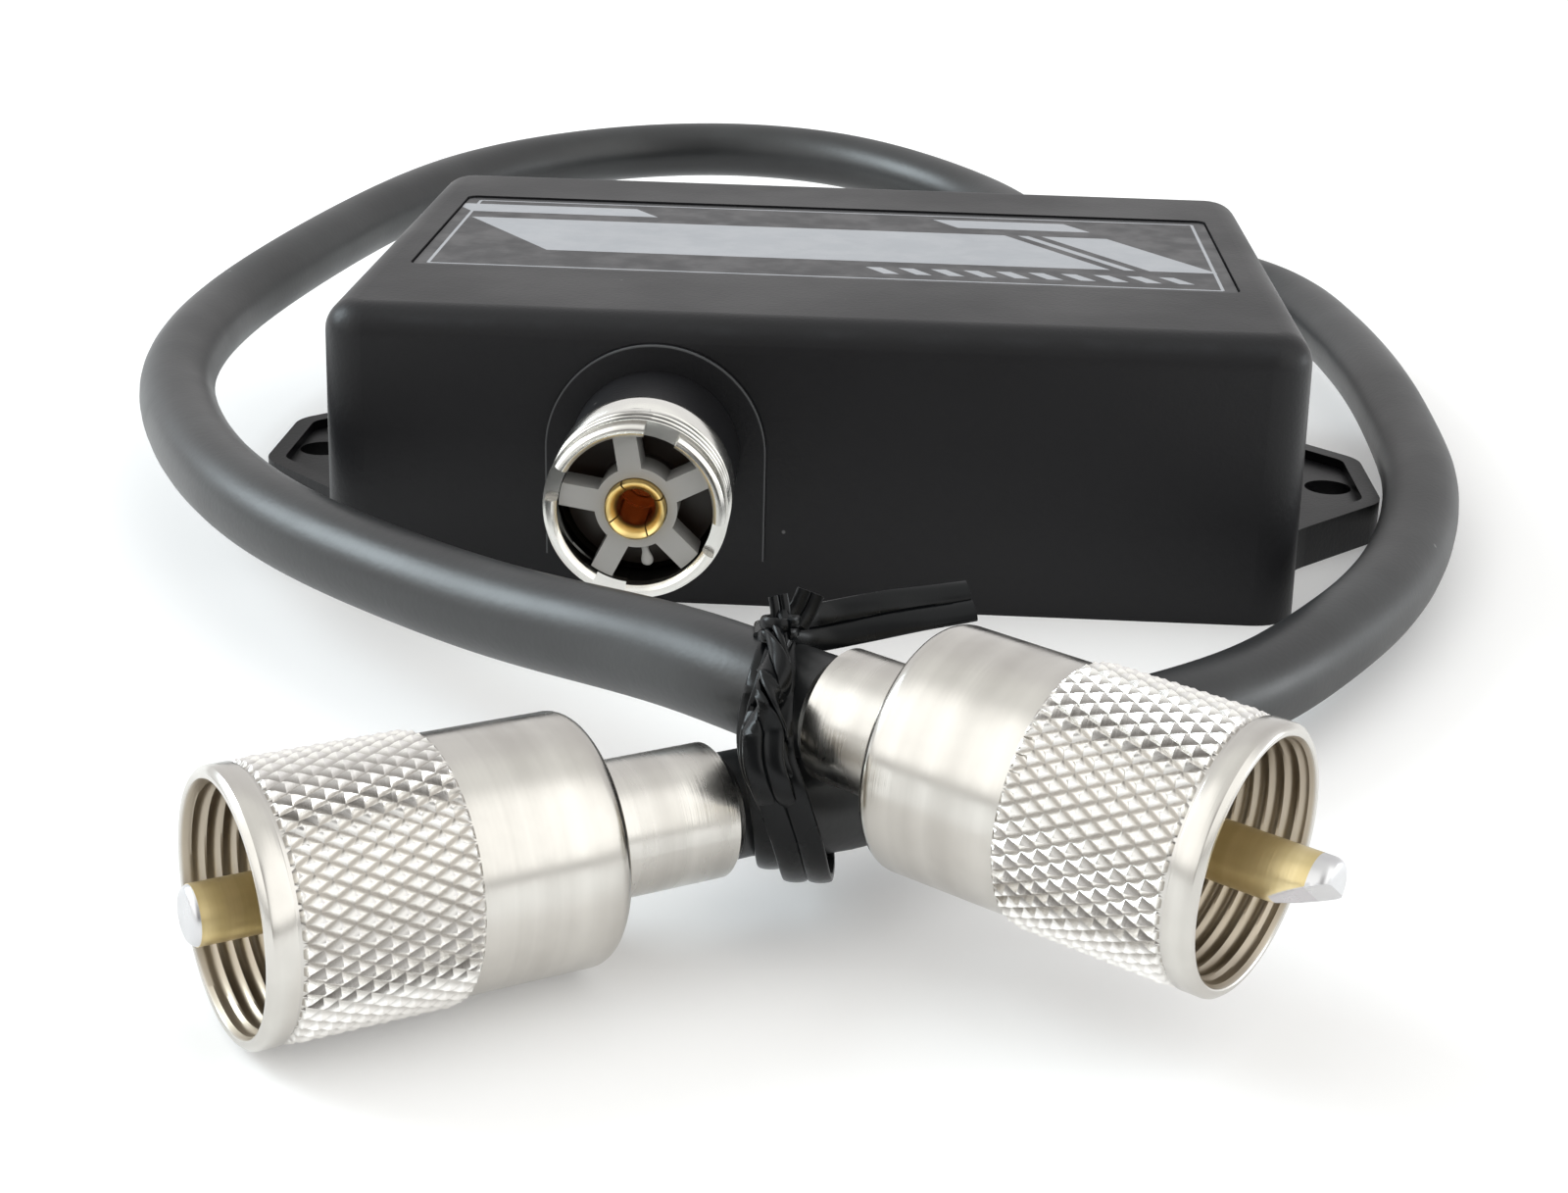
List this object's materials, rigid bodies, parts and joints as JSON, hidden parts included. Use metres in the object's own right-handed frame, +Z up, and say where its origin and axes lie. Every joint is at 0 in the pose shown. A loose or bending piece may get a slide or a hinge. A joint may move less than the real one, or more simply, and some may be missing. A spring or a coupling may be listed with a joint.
{
  "type": "antenna duplexer",
  "caption": "Flat moulded filter box with mounting ears and a threaded antenna socket; two coaxial leads end in plugs with knurled coupling rings that turn.",
  "frame": {"origin": "centre of the housing's underside, on the surface it stands on", "axes": "+X to the right seen from the socket side, +Y from the socket to the lead exits, +Z up"},
  "size_m": [0.1393, 0.2329, 0.027],
  "materials": {
    "housing_plastic": "satin black moulding",
    "label": "silver panel with dark bands, satin",
    "screw_steel": "zinc plated",
    "socket_nickel": "bright nickel plate",
    "white_insulator": "milky white, slightly translucent",
    "gold_plate": "satin gold plate",
    "board": "green board with solder mask",
    "tinned_sheet": "tinned sheet",
    "copper_wire": "enamelled copper wire",
    "capacitor_ceramic": "dipped ceramic discs",
    "bush_rubber": "matt black",
    "lead_core": "bared lead end",
    "lead_jacket": "satin black jacket",
    "plug_nickel": "satin nickel plate",
    "plug_insulator": "cream insulator",
    "solder": "bright solder",
    "ring_nickel": "satin nickel plate, knurled",
    "tie": "black coated wire strip"
  },
  "bodies": {
    "duplexer": {"housing": "housing_plastic", "socket_boss": "housing_plastic", "base_cover": "housing_plastic", "cover_screws": "screw_steel", "label_plate": "label", "socket_shell": "socket_nickel", "socket_insulator": "white_insulator", "socket_contact": "gold_plate", "contact_wire": "copper_wire", "socket_nut": "socket_nickel", "earth_washer": "socket_nickel", "circuit_board": "board", "board_screws": "screw_steel", "shield_wall": "tinned_sheet", "low_pass_coils": "copper_wire", "high_pass_coils": "copper_wire", "capacitors": "capacitor_ceramic", "lead_clamps": "tinned_sheet", "bush_left": "bush_rubber", "bush_right": "bush_rubber", "lead_end_left": "lead_core", "lead_end_right": "lead_core", "lead_left": "lead_jacket", "lead_right": "lead_jacket", "plug_body_left": "plug_nickel", "plug_body_right": "plug_nickel", "plug_insulator_left": "plug_insulator", "plug_insulator_right": "plug_insulator", "plug_pin_left": "gold_plate", "plug_pin_right": "gold_plate", "pin_solder_left": "solder", "pin_solder_right": "solder", "lead_tie": "tie"},
    "ring_left": {"coupling_ring_left": "ring_nickel"},
    "ring_right": {"coupling_ring_right": "ring_nickel"}
  },
  "joints": [
    {"name": "ring_left_turn", "type": "hinge", "parent": "duplexer", "child": "ring_left", "pos_m": [-0.02238, -0.1067, 0.00919], "axis": [-0.8336, -0.5517, 0.0262], "continuous": true},
    {"name": "ring_right_turn", "type": "hinge", "parent": "duplexer", "child": "ring_right", "pos_m": [0.02064, -0.1031, 0.01447], "axis": [0.8425, -0.5367, -0.0471], "continuous": true}
  ]
}
